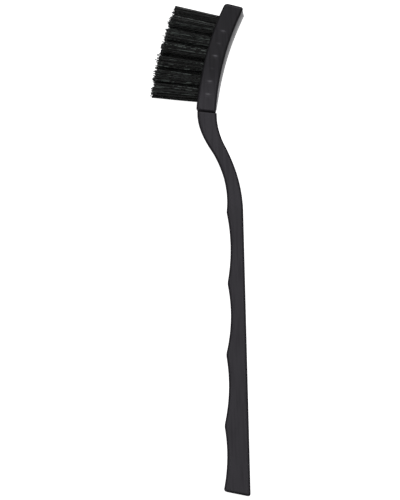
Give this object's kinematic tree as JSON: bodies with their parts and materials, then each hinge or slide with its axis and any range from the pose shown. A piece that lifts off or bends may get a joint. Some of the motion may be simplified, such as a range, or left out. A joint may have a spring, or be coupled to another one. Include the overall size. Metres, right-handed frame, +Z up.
{
  "type": "anti-static brush",
  "caption": "Hand brush of conductive black plastic with a scalloped finger grip, an S-bent neck and a curved head set with staggered rows of straight conductive tufts.",
  "frame": {"origin": "under the middle of the brush's box, on the surface that it lies on", "axes": "+Y along the grip from the tail to the head, +X from the bristle tips to the back, +Z up across the width, as the brush lies on its flat side"},
  "size_m": [0.034, 0.1752, 0.012],
  "materials": {
    "conductive_plastic": "carbon-filled black moulding with a fine matte skin",
    "conductive_filament": "carbon-filled black filament, slightly glossy along its length",
    "anchor_wire": "bright flat wire"
  },
  "bodies": {
    "root": {"handle": "conductive_plastic", "bristle_row_upper": "conductive_filament", "bristle_row_middle": "conductive_filament", "bristle_row_lower": "conductive_filament", "anchor_upper_1": "anchor_wire", "anchor_upper_2": "anchor_wire", "anchor_upper_3": "anchor_wire", "anchor_upper_4": "anchor_wire", "anchor_upper_5": "anchor_wire", "anchor_upper_6": "anchor_wire", "anchor_middle_1": "anchor_wire", "anchor_middle_2": "anchor_wire", "anchor_middle_3": "anchor_wire", "anchor_middle_4": "anchor_wire", "anchor_middle_5": "anchor_wire", "anchor_middle_6": "anchor_wire", "anchor_middle_7": "anchor_wire", "anchor_lower_1": "anchor_wire", "anchor_lower_2": "anchor_wire", "anchor_lower_3": "anchor_wire", "anchor_lower_4": "anchor_wire", "anchor_lower_5": "anchor_wire", "anchor_lower_6": "anchor_wire"}
  },
  "joints": []
}
